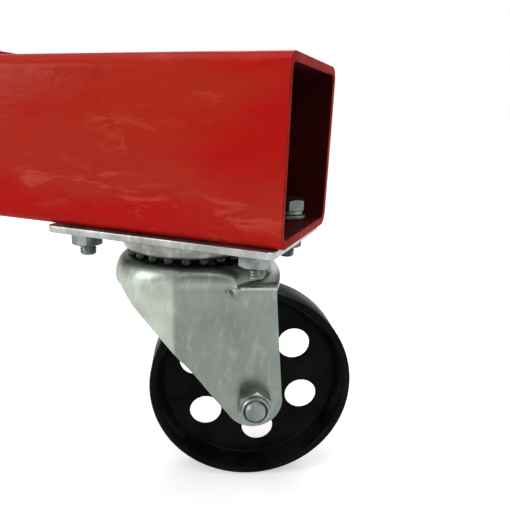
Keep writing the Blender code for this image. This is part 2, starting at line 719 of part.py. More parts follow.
clear_scene()
MESH = {
    "base_beam": smoothed(base_beam_mesh()),
    "outer_post": smoothed(outer_post_mesh()),
    "brace": smoothed(brace_mesh()),
    "inner_post": smoothed(inner_post_mesh()),
    "top_beam": smoothed(top_beam_mesh()),
    "trolley_stop": trolley_stop_mesh(),
    "lock_pin": lock_pin_mesh(),
    "top_plate": top_plate_mesh(),
    "kingpin": kingpin_mesh(),
    "fork": fork_mesh(),
    "wheel": wheel_mesh(),
    "bushing": bushing_mesh(),
    "axle_bolt": axle_bolt_mesh(),
    "axle_nut": axle_nut_mesh(),
    "plate_bolt": plate_bolt_mesh(),
}
place("top_beam", MESH["top_beam"], RED)
for side_name, side_y in (("back", SPAN / 2), ("front", -SPAN / 2)):
    build_side(side_name, side_y)
    build_lift(side_name, side_y)
build_caster("a", 1, SPAN / 2, PARKED_ANGLE)
build_caster("b", -1, SPAN / 2, 180 - PARKED_ANGLE)
build_caster("c", -1, -SPAN / 2, 180 + PARKED_ANGLE)
build_caster("d", 1, -SPAN / 2, -PARKED_ANGLE)
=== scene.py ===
import json
import math
import random

import bmesh
import bpy
from mathutils import Matrix, Vector


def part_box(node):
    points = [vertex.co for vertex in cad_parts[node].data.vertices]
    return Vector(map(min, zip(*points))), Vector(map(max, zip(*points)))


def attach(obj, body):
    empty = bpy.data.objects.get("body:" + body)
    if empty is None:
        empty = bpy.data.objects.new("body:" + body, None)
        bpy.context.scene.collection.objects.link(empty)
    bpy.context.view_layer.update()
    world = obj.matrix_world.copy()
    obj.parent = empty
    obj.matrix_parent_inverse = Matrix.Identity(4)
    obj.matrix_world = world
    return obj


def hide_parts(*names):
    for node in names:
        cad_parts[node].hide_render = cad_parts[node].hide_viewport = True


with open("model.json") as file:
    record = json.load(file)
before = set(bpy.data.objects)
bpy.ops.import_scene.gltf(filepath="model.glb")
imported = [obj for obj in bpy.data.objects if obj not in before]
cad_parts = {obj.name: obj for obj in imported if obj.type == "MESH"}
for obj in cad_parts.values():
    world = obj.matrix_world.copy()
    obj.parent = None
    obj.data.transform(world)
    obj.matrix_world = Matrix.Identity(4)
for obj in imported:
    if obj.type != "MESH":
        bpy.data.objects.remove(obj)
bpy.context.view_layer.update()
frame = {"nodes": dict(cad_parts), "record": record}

# Lengths are in millimetres unless a name says otherwise. A caster's own frame has its origin on the
# kingpin at the underside of the base beam, +X along the trail and the axle along Y, nut at -Y.
MM = 0.001
TOUCH = 0.3  # left between pieces that touch
BEAM_LENGTH = 1300.0
BEAM_SIDE = 90.0
BEAM_WALL = 4.5
BEAM_CORNER = 8.0
PLATE_LENGTH = 136.0
PLATE_WIDTH = 90.0
PLATE_TOP = -TOUCH
PLATE_BOTTOM = PLATE_TOP - 4.0
BOLT_X = 53.0
BOLT_Y = 27.0
TRAIL = 39.4  # from the kingpin to the axle
AXLE_Z = -101.26
CROWN_TOP = -17.0
CROWN_RADIUS = 44.0
CROWN_BEND = 10.5  # how far the dome's rounded edge drops
ROOF_Z = -25.6
SKIRT_Z = -31.5  # where the fork's bent top meets its straight legs
SHEET = 3.5
LEG_END = 17.2  # radius of a leg's round end
LEG_BOTTOM_HALF = 31.5  # half the fork's width at the axle
FACET_TURN = 209.5  # degrees about the kingpin where a rear facet meets its leg
ROOF_END = 54.5  # how far the fork's roof reaches along +X
RING_RADIUS = 33.4  # of the ring of swivel balls
BALL_RADIUS = 3.3
FLANGE = 8.0  # thickness of an outer post's foot flange and of a saddle plate
POST_SIDE = 80.0
INNER_POST_SIDE = 70.0
TAB = 6.0  # thickness of a brace's tab
TAB_HALF = 45.0  # half its length
BRACE_SIDE = 40.0
BRACE_LEAN = 30.95  # degrees from upright
FOOT_SHIFT = 3.6  # how far the leaning brace moves inwards through its foot tab
HEAD_DROP = 9.8  # and downwards through its head tab
WELD_ROOM = 1.5  # how much wider a weld's path is than the tube it goes round
POST_BOLT_X = 62.0
POST_BOLT_Y = 28.0
CLAMP_Y = 70.0  # from the post's middle to a clamp
PARKED = {"a": 26.0, "b": 154.0, "c": 206.0, "d": -26.0}  # degrees each caster is turned at rest
CORNERS = ((1, 1), (-1, 1), (-1, -1), (1, -1))
RECORD = frame["record"]
NODES = frame["nodes"]


# Mesh helpers

def loft(rings, around=True, along=False, caps=(False, False)):
    """Quads between rings of equally many points; around closes each ring, along joins last to first."""
    points = [p for ring in rings for p in ring]
    n = len(rings[0])
    faces = []
    last = len(rings) if along else len(rings) - 1
    for i in range(last):
        j = (i + 1) % len(rings)
        for k in range(n if around else n - 1):
            m = (k + 1) % n
            faces.append((i * n + k, i * n + m, j * n + m, j * n + k))
    if caps[0]:
        faces.append(tuple(range(n))[::-1])
    if caps[1]:
        faces.append(tuple((len(rings) - 1) * n + k for k in range(n)))
    return points, faces


def lathe(profile, steps, closed=True):
    """(radius, height) pairs turned about Z."""
    rings = []
    for radius, height in profile:
        ring = []
        for k in range(steps):
            a = 2 * math.pi * k / steps
            ring.append((radius * math.cos(a), radius * math.sin(a), height))
        rings.append(ring)
    return loft(rings, along=closed)


def moved(shape, matrix):
    points, faces = shape[0], shape[1]
    return [tuple(matrix @ Vector(p)) for p in points], faces, *shape[2:]


def tinted(shape, index):
    return shape[0], shape[1], index


def fine(shapes, name, angle=35.0, weld=1e-6):
    """One mesh in metres from shapes in millimetres: welded, turned outwards, smooth but for its edges."""
    found = bmesh.new()
    for shape in shapes:
        made = [found.verts.new(Vector(p) * MM) for p in shape[0]]
        index = shape[2] if len(shape) > 2 else 0
        for face in shape[1]:
            found.faces.new([made[i] for i in face]).material_index = index
    bmesh.ops.remove_doubles(found, verts=found.verts, dist=weld)
    bmesh.ops.recalc_face_normals(found, faces=found.faces)
    mesh = bpy.data.meshes.new(name)
    sharpen(found, angle)
    found.to_mesh(mesh)
    found.free()
    return mesh


def sharpen(found, angle):
    limit = math.radians(angle)
    for face in found.faces:
        face.smooth = True
    for edge in found.edges:
        if len(edge.link_faces) == 2 and edge.calc_face_angle(0.0) > limit:
            edge.smooth = False


def baked(mesh, angle, *modifiers):
    """The mesh with these modifiers applied, each a pair of its type and its settings."""
    holder = bpy.data.objects.new("holder", mesh)
    bpy.context.scene.collection.objects.link(holder)
    for kind, settings in modifiers:
        modifier = holder.modifiers.new(kind, kind)
        for key, value in settings.items():
            setattr(modifier, key, value)
    bpy.context.view_layer.update()
    graph = bpy.context.evaluated_depsgraph_get()
    result = bpy.data.meshes.new_from_object(holder.evaluated_get(graph))
    bpy.data.objects.remove(holder)
    found = bmesh.new()
    found.from_mesh(result)
    sharpen(found, angle)
    found.to_mesh(result)
    found.free()
    result.name = mesh.name
    return result


def round_corners(length, width, radius, steps=6):
    """A rectangle about the origin with round corners, anticlockwise."""
    points = []
    for i, (sx, sy) in enumerate(CORNERS):
        for k in range(steps + 1):
            a = math.radians(90 * i + 90 * k / steps)
            x = sx * (length / 2 - radius) + radius * math.cos(a)
            points.append((x, sy * (width / 2 - radius) + radius * math.sin(a)))
    return points


def slab(outline, bottom, top, edge):
    """An outline given thickness, with its rims broken by a small rounding."""
    middle = [sum(c) / len(outline) for c in zip(*outline)]

    def ring(inset, z):
        found = []
        for x, y in outline:
            away = math.hypot(x - middle[0], y - middle[1]) or 1.0
            k = 1 - inset / away
            found.append((middle[0] + (x - middle[0]) * k, middle[1] + (y - middle[1]) * k, z))
        return found

    rings = [ring(edge, bottom), ring(edge * 0.3, bottom + edge * 0.3), ring(0, bottom + edge)]
    rings += [ring(0, top - edge), ring(edge * 0.3, top - edge * 0.3), ring(edge, top)]
    return loft(rings, caps=(True, True))


def hexagonal(flats, bottom, top, bore, low_cut=0.6, high_cut=1.0):
    """A hexagon nut or head with its corners turned off; bore 0 closes both faces."""
    steps = 48
    turned = flats / 2 * 0.96

    def ring(z, cut):
        found = []
        for k in range(steps):
            a = 2 * math.pi * k / steps
            reach = flats / 2 / math.cos((a % (math.pi / 3)) - math.pi / 6)
            drop = max(reach - turned, 0.0) * 0.55 * cut
            found.append((reach * math.cos(a), reach * math.sin(a), z + drop))
        return found

    def circle(radius, z):
        return [
            (radius * math.cos(2 * math.pi * k / steps), radius * math.sin(2 * math.pi * k / steps), z)
            for k in range(steps)
        ]

    inside = max(bore, 0.01)
    rings = [circle(inside + 0.5 * (bore > 0), bottom), circle(turned, bottom), ring(bottom, low_cut)]
    rings += [ring(top, -high_cut), circle(turned, top), circle(inside + 0.5 * (bore > 0), top)]
    if bore:
        rings += [circle(bore, top - 0.5), circle(bore, bottom + 0.5)]
    return loft(rings, along=bool(bore))


def washer(radius, bore, bottom, top):
    e = min(0.3, (top - bottom) / 3)
    return lathe(
        [(bore, bottom), (radius - e, bottom), (radius, bottom + e), (radius, top - e),
         (radius - e, top), (bore, top)], 40)


def threaded(radius, pitch, start, end):
    """A screw thread along Z, its point at start with a chamfer."""
    steps = 28
    rings = []
    rows = int((end - start) / (pitch / 6)) + 1
    depth = 0.61 * pitch
    for i in range(rows + 1):
        z = start + (end - start) * i / rows
        ring = []
        for k in range(steps):
            a = 2 * math.pi * k / steps
            phase = (z / pitch - k / steps) % 1.0
            r = radius - depth * (1 - abs(2 * phase - 1)) ** 0.8
            r = min(r, radius - 1.3 + 1.1 * (z - start))
            ring.append((r * math.cos(a), r * math.sin(a), z))
        rings.append(ring)
    low = [(0.001 * p[0], 0.001 * p[1], start) for p in rings[0]]
    high = [(0.001 * p[0], 0.001 * p[1], end) for p in rings[-1]]
    return loft([low] + rings + [high])


def rod(radius, start, end):
    edge = 0.5
    profile = [(0.001, start), (radius - edge, start), (radius, start + edge)]
    profile += [(radius, end - edge), (radius - edge, end), (0.001, end)]
    return lathe(profile, 40, closed=False)


def bead(corners, radius, seed):
    """A weld bead along a closed path of 3-D points: overlapping ripples, a little uneven."""
    spacing = 1.6
    dice = random.Random(seed)
    path = []
    for i in range(len(corners)):
        a, b = Vector(corners[i]), Vector(corners[(i + 1) % len(corners)])
        steps = max(1, round((b - a).length / spacing))
        path += [a.lerp(b, k / steps) for k in range(steps)]
    rings = []
    wander = 0.0
    for i, p in enumerate(path):
        before, after = path[i - 1], path[(i + 1) % len(path)]
        along = (after - before).normalized()
        side = along.cross(Vector((0.3, 0.2, 1.0))).normalized()
        up = side.cross(along)
        wander = 0.8 * wander + 0.2 * dice.uniform(-1, 1)
        r = radius * (1 + 0.10 * math.sin(i * 2.1) + 0.25 * wander)
        ring = []
        for k in range(8):
            a = 2 * math.pi * k / 8
            ring.append(tuple(p + side * (r * math.cos(a)) + up * (r * math.sin(a))))
        rings.append(ring)
    return loft(rings, along=True)


def smooth_max(a, b, k):
    h = max(k - abs(a - b), 0.0) / k
    return max(a, b) + h * h * k / 4


def step(low, high, value):
    t = min(max((value - low) / (high - low), 0.0), 1.0)
    return t * t * (3 - 2 * t)


def bell(x, z, middle_x, middle_z, wide, tall):
    return math.exp(-(((x - middle_x) / wide) ** 2 + ((z - middle_z) / tall) ** 2))


# Materials

class Look:
    """A node material under construction."""

    def __init__(self, name):
        self.material = bpy.data.materials.new(name)
        self.material.use_nodes = True
        self.nodes = self.material.node_tree.nodes
        self.links = self.material.node_tree.links
        self.shader = self.nodes["Principled BSDF"]
        self.where = self.node("ShaderNodeTexCoord").outputs["Object"]

    def node(self, kind, **settings):
        made = self.nodes.new(kind)
        for key, value in settings.items():
            setattr(made, key, value)
        return made

    def link(self, source, target):
        self.links.new(source, target)

    def stretched(self, scale):
        mapping = self.node("ShaderNodeMapping")
        mapping.inputs["Scale"].default_value = scale
        self.link(self.where, mapping.inputs["Vector"])
        return mapping.outputs["Vector"]

    def noise(self, scale, detail=4.0, rough=0.55, where=None, distortion=0.0):
        made = self.node("ShaderNodeTexNoise")
        made.inputs["Scale"].default_value = scale
        made.inputs["Detail"].default_value = detail
        made.inputs["Roughness"].default_value = rough
        made.inputs["Distortion"].default_value = distortion
        self.link(where or self.where, made.inputs["Vector"])
        return made.outputs["Fac"]

    def remap(self, value, low, high, to_low, to_high):
        made = self.node("ShaderNodeMapRange")
        for key, number in zip(("From Min", "From Max", "To Min", "To Max"), (low, high, to_low, to_high)):
            made.inputs[key].default_value = number
        self.link(value, made.inputs["Value"])
        return made.outputs["Result"]

    def times(self, a, b):
        made = self.node("ShaderNodeMath", operation="MULTIPLY")
        self.link(a, made.inputs[0])
        self.link(b, made.inputs[1])
        return made.outputs[0]

    def mixed(self, factor, a, b):
        made = self.node("ShaderNodeMix", data_type="RGBA")
        self.link(factor, made.inputs[0])
        for socket, colour in ((made.inputs[6], a), (made.inputs[7], b)):
            if isinstance(colour, tuple):
                socket.default_value = (*colour, 1.0)
            else:
                self.link(colour, socket)
        return made.outputs[2]

    def facet(self, colour):
        """Painted light on the fork's sheet: its bent rear facets painted twice as bright as its panels,
        painted shade over the dome and roof ahead of them, a painted highlight along the arch rim, and
        painted shade on the flat top under the race and at the dome's back edge.
        """
        apart = self.node("ShaderNodeSeparateXYZ")
        self.link(self.where, apart.inputs[0])
        # painted highlight: the rear facets below the crown are made twice as bright
        behind = self.remap(apart.outputs["X"], -6.5 * MM, -9.5 * MM, 0.0, 1.0)
        below = self.remap(apart.outputs["Z"], -19.0 * MM, -27.0 * MM, 0.0, 1.0)
        painted_light_gain = self.remap(self.times(behind, below), 0.0, 1.0, 1.0, 2.0)
        # painted shade over the front of the dome and the roof
        ahead = self.remap(apart.outputs["X"], -9.0 * MM, -4.0 * MM, 0.0, 1.0)
        above = self.remap(apart.outputs["Z"], -26.5 * MM, -22.0 * MM, 0.0, 1.0)
        painted_shade_ahead = self.remap(self.times(ahead, above), 0.0, 1.0, 1.0, 0.44)
        # painted highlight along the arch rim
        rim = self.remap(apart.outputs["Z"], -29.5 * MM, -26.8 * MM, 0.0, 1.0)
        painted_rim_highlight = self.remap(self.times(ahead, rim), 0.0, 1.0, 1.0, 1.28)
        # painted shade on the flat crown top under the race
        top = self.remap(apart.outputs["Z"], -19.6 * MM, -17.8 * MM, 1.0, 0.62)
        # painted shade at the dome's back edge
        back = self.remap(apart.outputs["X"], -43.5 * MM, -37.0 * MM, 0.68, 1.0)
        scaled = self.node("ShaderNodeVectorMath", operation="SCALE")
        self.link(colour, scaled.inputs[0])
        for factor in (painted_shade_ahead, painted_rim_highlight, top, back):
            painted_light_gain = self.times(painted_light_gain, factor)
        self.link(painted_light_gain, scaled.inputs["Scale"])
        return scaled.outputs["Vector"]

    def bump(self, *heights):
        """Each height is a value, its depth in metres and its strength."""
        normal = None
        for value, depth, strength in heights:
            made = self.node("ShaderNodeBump")
            made.inputs["Distance"].default_value = depth
            made.inputs["Strength"].default_value = strength
            self.link(value, made.inputs["Height"])
            if normal:
                self.link(normal, made.inputs["Normal"])
            normal = made.outputs["Normal"]
        self.link(normal, self.shader.inputs["Normal"])
        self.link(normal, self.shader.inputs["Coat Normal"])

    def set(self, **values):
        for key, value in values.items():
            socket = self.shader.inputs[key.replace("_", " ")]
            if hasattr(value, "is_linked"):
                self.link(value, socket)
            else:
                socket.default_value = (*value, 1.0) if isinstance(value, tuple) else value
        return self.material


def red_enamel():
    look = Look("red_enamel")
    bands = look.stretched((0.45, 1.0, 1.5))
    broad = look.remap(look.noise(13.0, 3.0, 0.5, bands, distortion=0.5), 0.42, 0.58, 0.0, 1.0)
    body = look.mixed(broad, (0.390, 0.0022, 0.0005), (0.365, 0.017, 0.0065))
    cells = look.noise(62.0, 7.0, 0.70, look.stretched((0.5, 1.0, 1.6)), distortion=0.55)
    zone = look.remap(look.noise(17.0, 2.0, 0.5, bands), 0.46, 0.60, 0.0, 0.75)
    # pale streaky patches within the zones: painted reflections of the glossy coat
    painted_reflection_patches = look.times(look.remap(cells, 0.52, 0.60, 0.0, 1.0), zone)
    colour = look.mixed(painted_reflection_patches, body, (0.47, 0.050, 0.026))
    deep = look.times(look.remap(cells, 0.46, 0.36, 0.0, 0.5), zone)
    colour = look.mixed(deep, colour, (0.32, 0.004, 0.002))
    chips = look.remap(look.noise(260.0, 6.0, 0.75), 0.745, 0.765, 0.0, 1.0)
    colour = look.mixed(chips, colour, (0.20, 0.035, 0.022))
    rough = look.remap(look.noise(30.0, 4.0, 0.6), 0.3, 0.7, 0.16, 0.30)
    look.bump(
        (look.noise(26.0, 3.0, 0.5, distortion=0.8), 0.0016, 0.55),
        (cells, 0.0006, 0.55),
        (look.noise(260.0, 2.0, 0.5), 0.00022, 0.5),
        (look.noise(900.0, 2.0, 0.5), 0.00005, 0.3),
    )
    return look.set(Base_Color=colour, Roughness=rough, Specular_IOR_Level=0.05, IOR=1.25,
                    Coat_Weight=0.14, Coat_Roughness=0.06)


def dark_inside():
    look = Look("primer_with_painted_shade_inside")
    # dark primer inside the tube, made darker still as painted shade
    clouds = look.remap(look.noise(22.0, 5.0, 0.65), 0.35, 0.7, 0.0, 1.0)
    colour = look.mixed(clouds, (0.020, 0.001, 0.001), (0.050, 0.002, 0.002))
    rough = look.remap(look.noise(60.0, 4.0, 0.6), 0.3, 0.7, 0.45, 0.7)
    look.bump((look.noise(400.0, 4.0, 0.6), 0.0001, 0.5))
    return look.set(Base_Color=colour, Roughness=rough, Specular_IOR_Level=0.04)


def cut_edge():
    look = Look("red_cut_edge")
    clouds = look.remap(look.noise(60.0, 5.0, 0.65), 0.35, 0.7, 0.0, 1.0)
    colour = look.mixed(clouds, (0.24, 0.008, 0.005), (0.34, 0.022, 0.014))
    worn = look.remap(look.noise(420.0, 5.0, 0.7), 0.64, 0.70, 0.0, 0.6)
    colour = look.mixed(worn, colour, (0.42, 0.10, 0.08))
    rough = look.remap(look.noise(90.0, 4.0, 0.6), 0.3, 0.7, 0.45, 0.65)
    look.bump((look.noise(500.0, 4.0, 0.6), 0.0001, 0.5))
    return look.set(Base_Color=colour, Roughness=rough, Specular_IOR_Level=0.02)


def zinc_sheet(name, dark, light, facet=False):
    look = Look(name)
    clouds = look.remap(look.noise(38.0, 5.0, 0.6, distortion=0.4), 0.35, 0.68, 0.0, 1.0)
    body = look.mixed(clouds, dark, light)
    blue = look.remap(look.noise(21.0, 3.0, 0.5), 0.54, 0.70, 0.0, 0.7)
    body = look.mixed(blue, body, tuple(c * k for c, k in zip(light, (0.74, 0.90, 1.12))))
    gold = look.remap(look.noise(27.0, 3.0, 0.5, look.stretched((1.0, 1.3, 0.8))), 0.58, 0.72, 0.0, 0.6)
    body = look.mixed(gold, body, tuple(c * k for c, k in zip(light, (1.16, 1.08, 0.78))))
    rubs = look.noise(150.0, 5.0, 0.65, look.stretched((1.5, 1.5, 0.45)))
    colour = look.mixed(look.remap(rubs, 0.52, 0.70, 0.0, 0.40), body, tuple(c * 1.5 for c in light))
    marks = look.remap(look.noise(330.0, 5.0, 0.7, look.stretched((1.0, 1.0, 0.5))), 0.66, 0.74, 0.0, 0.5)
    colour = look.mixed(marks, colour, tuple(c * 0.45 for c in dark))
    # the fork's sheet gets painted highlights and painted shade by position
    if facet:
        colour = look.facet(colour)
    rough = look.remap(look.noise(70.0, 5.0, 0.6), 0.3, 0.7, 0.26, 0.40)
    grain = look.noise(420.0, 3.0, 0.6, look.stretched((1.0, 1.0, 0.12)))
    look.bump(
        (look.noise(60.0, 3.0, 0.5), 0.0005 if facet else 0.0002, 0.45),
        (grain, 0.00006, 0.45),
        (look.noise(1300.0, 2.0, 0.5), 0.00003, 0.3),
    )
    return look.set(Base_Color=colour, Roughness=rough, Metallic=0.93)


def zinc_fastener():
    look = Look("zinc_fastener")
    clouds = look.remap(look.noise(95.0, 3.0, 0.5), 0.42, 0.60, 0.0, 1.0)
    colour = look.mixed(clouds, (0.12, 0.14, 0.135), (0.26, 0.29, 0.27))
    rough = look.remap(look.noise(220.0, 4.0, 0.6), 0.3, 0.7, 0.24, 0.42)
    look.bump((look.noise(700.0, 3.0, 0.6), 0.00005, 0.4))
    return look.set(Base_Color=colour, Roughness=rough, Metallic=0.95)


def black_iron():
    look = Look("black_enamelled_iron")
    clouds = look.remap(look.noise(45.0, 5.0, 0.6), 0.35, 0.7, 0.0, 1.0)
    body = look.mixed(clouds, (0.0028, 0.0028, 0.0030), (0.0075, 0.0085, 0.0082))
    rub = look.remap(look.noise(120.0, 6.0, 0.75), 0.66, 0.75, 0.0, 0.5)
    colour = look.mixed(rub, body, (0.022, 0.022, 0.020))
    rough = look.remap(look.noise(60.0, 4.0, 0.6), 0.3, 0.7, 0.22, 0.42)
    look.bump(
        (look.noise(120.0, 4.0, 0.6), 0.0005, 0.35),
        (look.noise(600.0, 3.0, 0.6), 0.00012, 0.4),
    )
    return look.set(Base_Color=colour, Roughness=rough, Specular_IOR_Level=0.05, IOR=1.15,
                    Coat_Weight=0.035, Coat_Roughness=0.08)


def bare_steel():
    look = Look("oiled_steel")
    clouds = look.remap(look.noise(90.0, 4.0, 0.6), 0.35, 0.7, 0.0, 1.0)
    colour = look.mixed(clouds, (0.20, 0.20, 0.19), (0.32, 0.32, 0.31))
    rough = look.remap(look.noise(150.0, 4.0, 0.6), 0.3, 0.7, 0.28, 0.46)
    look.bump((look.noise(500.0, 3.0, 0.6), 0.00005, 0.4))
    return look.set(Base_Color=colour, Roughness=rough, Metallic=1.0)


def greased_ball_in_painted_shade():
    # near-black balls: grease, and painted shade of the narrow gap between race and crown
    look = Look("greased_ball_in_painted_shade")
    clouds = look.remap(look.noise(300.0, 3.0, 0.5), 0.35, 0.7, 0.0, 1.0)
    colour = look.mixed(clouds, (0.003, 0.003, 0.003), (0.008, 0.008, 0.008))
    rough = look.remap(look.noise(400.0, 3.0, 0.5), 0.3, 0.7, 0.07, 0.14)
    look.bump((look.noise(900.0, 2.0, 0.5), 0.00001, 0.3))
    return look.set(Base_Color=colour, Roughness=rough, Specular_IOR_Level=0.3)


def dark_nylon():
    look = Look("dark_nylon")
    clouds = look.remap(look.noise(300.0, 3.0, 0.5), 0.35, 0.7, 0.0, 1.0)
    colour = look.mixed(clouds, (0.035, 0.045, 0.05), (0.07, 0.085, 0.09))
    rough = look.remap(look.noise(400.0, 3.0, 0.5), 0.3, 0.7, 0.40, 0.55)
    look.bump((look.noise(900.0, 2.0, 0.5), 0.00004, 0.3))
    return look.set(Base_Color=colour, Roughness=rough)


RED = red_enamel()
INSIDE = dark_inside()
CUT = cut_edge()
FORK_ZINC = zinc_sheet("zinc_sheet", (0.175, 0.20, 0.175), (0.235, 0.265, 0.23), facet=True)
ZINC = zinc_sheet("zinc_plate", (0.22, 0.235, 0.215), (0.47, 0.485, 0.45))
# the race is the plate's zinc made darker: painted shade on its downward-facing curl
RACE_ZINC_PAINTED_SHADE = zinc_sheet("zinc_race_painted_shade", (0.16, 0.18, 0.16), (0.36, 0.385, 0.35))
FASTENER = zinc_fastener()
IRON = black_iron()
STEEL = bare_steel()
BALL = greased_ball_in_painted_shade()
NYLON = dark_nylon()
FINISH = {
    "red_paint": RED,
    "zinc_sheet": ZINC,
    "zinc_fastener": FASTENER,
    "black_iron": IRON,
    "bare_steel": STEEL,
}


def piece(name, mesh, looks, body, stands_for, place):
    """A mesh put in its place, riding on a body; the first to use a mesh gives it its materials."""
    found = bpy.data.objects.new(name, mesh)
    bpy.context.scene.collection.objects.link(found)
    found.matrix_world = place
    if not mesh.materials:
        for look in looks:
            mesh.materials.append(look)
    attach(found, body)
    if stands_for:
        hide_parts(*stands_for)


# The pressed fork

def crown_height(x, y):
    """Top of the pressing: a round dome over the kingpin that runs out into the flat roof at +X."""
    flat = 35.5
    r = math.hypot(x if x < 0 else max(x - 6.0, 0.0), y)
    t = (r - flat) / (CROWN_RADIUS - flat)
    if t <= 0:
        dome = CROWN_TOP
    elif t < 1:
        dome = CROWN_TOP - CROWN_BEND + CROWN_BEND * math.sqrt(1 - t * t)
    else:
        dome = CROWN_TOP - CROWN_BEND - (t - 1) * 40
    roof = ROOF_Z - 16 * (1 - step(-8.0, 12.0, x))
    return smooth_max(dome, roof, 2.5)


def leg_face(x, z):
    """How far the leg's outside stands from the middle: flared at the top, with a pressed panel."""
    rise = min(max((z + 98.0) / 73.0, 0.0), 1.15)
    face = LEG_BOTTOM_HALF + 9.5 * rise ** 1.5
    bend = 1.3  # how softly the rear facet turns away from the panel
    face -= 0.27 * bend * math.log1p(math.exp((-8.2 - x) / bend))
    panel = step(-4.0, -1.6, x) * (1 - step(21.6, 27.4, x)) * step(-98.0, -84.0, z)
    face -= 1.7 * panel
    high = step(-50.0, -36.0, z) * (1 - step(-27.5, -22.0, z))
    face += 2.1 * high * math.exp(-((x + 0.2) / 2.2) ** 2)
    face -= 1.7 * high * math.exp(-((x + 5.2) / 2.0) ** 2)
    face -= 2.0 * bell(x, z, 22.4, -31.0, 1.9, 3.2)
    face += 1.7 * bell(x, z, 26.2, -31.4, 2.1, 3.8)
    return face


def fork_solid(x, y, z):
    """Below zero inside the fork's outer surface, for the half at -Y."""
    side = smooth_max(-y - leg_face(x, z), math.hypot(min(x, 0.0), y) - CROWN_RADIUS, 3.0)
    return smooth_max(side, z - crown_height(x, y), 6.5)


def crossing(start, direction, far):
    low, high = 0.0, far
    for _ in range(26):
        middle = (low + high) / 2
        p = start + direction * middle
        if fork_solid(*p) < 0:
            low = middle
        else:
            high = middle
    return start + direction * low


def tangent(point, side):
    """Where a line from a point touches the leg's round end."""
    dx, dz = point[0] - TRAIL, point[1] - AXLE_Z
    a = math.atan2(dz, dx) + side * math.acos(LEG_END / math.hypot(dx, dz))
    return TRAIL + LEG_END * math.cos(a), AXLE_Z + LEG_END * math.sin(a)


def roof_reach(share, y):
    """How far along X the roof has come at a share of its length: its front edge is a shallow arc."""
    return share * (ROOF_END - 6.0 * (min(-y, 41.0) / 41.0) ** 2)


def bent_top():
    """Rows of points over the half at -Y, each from the kingpin hole outwards and down to the skirt."""
    hole, pivot = 6.6, 29.0
    stations = [("turn", 180 + (FACET_TURN - 180) * i / 12) for i in range(12)]
    stations += [("turn", FACET_TURN + (270 - FACET_TURN) * i / 24) for i in range(24)]
    stations += [("along", i / 44) for i in range(45)]
    grid = []
    for kind, value in stations:
        if kind == "turn":
            a = math.radians(value)
            outward = Vector((math.cos(a), math.sin(a), 0))
            flat = [outward * hole + outward * ((pivot - hole) * i / 7) for i in range(8)]
            hub = outward * pivot
            raised = 4.5 * (max(FACET_TURN - value, 0.0) / (FACET_TURN - 180)) ** 1.4
        else:
            start = -math.sqrt(max(hole ** 2 - (ROOF_END * value) ** 2, 0.0))
            flat = []
            for i in range(8):
                y = start + (-pivot - start) * i / 7
                flat.append(Vector((roof_reach(value, y), y, 0)))
            outward = Vector((0, -1, 0))
            hub = flat[-1].copy()
            raised = 0.0
        row = [crossing(Vector((p.x, p.y, -40)), Vector((0, 0, 1)), 40) for p in flat]
        hub.z = SKIRT_Z + raised
        for i in range(1, 23):
            a = math.radians(90 - 90 * i / 22)
            aim = outward * math.cos(a) + Vector((0, 0, 1)) * math.sin(a)
            p = crossing(hub, aim, 30)
            if kind == "along":
                shift = roof_reach(value, p.y) - p.x
                p = crossing(hub + Vector((shift, 0, 0)), aim, 30)
            row.append(p)
        grid.append(row)
    return grid


def fork_shape():
    """The outer surface, still without thickness: the bent top and a leg at -Y, and their mirror."""
    grid = bent_top()
    points, faces = loft(grid, around=False)
    top = [row[-1] for row in grid[12:]]
    left, right = (top[0].x, SKIRT_Z), (top[-1].x, SKIRT_Z)
    left_end, right_end = tangent(left, 1), tangent(right, -1)
    share = [(p.x - left[0]) / (right[0] - left[0]) for p in top]

    def side(z, above, end, sign):
        """Where the leg's edge is at a height: straight down to its tangent, then round."""
        if z >= end[1]:
            return above[0] + (end[0] - above[0]) * (above[1] - z) / (above[1] - end[1])
        return TRAIL + sign * math.sqrt(max(LEG_END ** 2 - (z - AXLE_Z) ** 2, 0.0))

    levels = [SKIRT_Z + (left_end[1] - SKIRT_Z) * i / 50 for i in range(51)]
    turn = math.asin((AXLE_Z - left_end[1]) / LEG_END)
    levels += [AXLE_Z - LEG_END * math.sin(turn + (math.pi / 2 - turn) * i / 12) for i in range(1, 13)]
    leg = [top]
    for z in levels[1:]:
        x0, x1 = side(z, left, left_end, -1), side(z, right, right_end, 1)
        starts = [Vector((x0 + (x1 - x0) * t, -5.0, z)) for t in share]
        leg.append([crossing(start, Vector((0, -1, 0)), 60) for start in starts])
    offset = len(points)
    leg_points, leg_faces = loft(leg, around=False)
    points += [tuple(p) for p in leg_points]
    faces += [(offset + a, offset + d, offset + c, offset + b) for a, b, c, d in leg_faces]
    mirrored = [(x, -y, z) for x, y, z in points]
    return [(points, faces), (mirrored, [f[::-1] for f in faces])]


def fork_mesh():
    found = bmesh.new()
    for points, faces in fork_shape():
        made = [found.verts.new(Vector(p) * MM) for p in points]
        for face in faces:
            found.faces.new([made[i] for i in face])
    bmesh.ops.remove_doubles(found, verts=found.verts, dist=4e-5)
    bmesh.ops.recalc_face_normals(found, faces=found.faces)
    highest = max(found.faces, key=lambda f: f.calc_center_median().z)
    if highest.normal.z < 0:
        bmesh.ops.reverse_faces(found, faces=found.faces)
    mesh = bpy.data.meshes.new("fork")
    found.to_mesh(mesh)
    found.free()
    thick = {"thickness": SHEET * MM, "offset": -1.0, "use_even_offset": True, "use_quality_normals": True}
    rim = {"width": 0.6 * MM, "segments": 2, "limit_method": "ANGLE", "angle_limit": math.radians(50)}
    return baked(mesh, 40.0, ("SOLIDIFY", thick), ("BEVEL", rim))


# The cast wheel

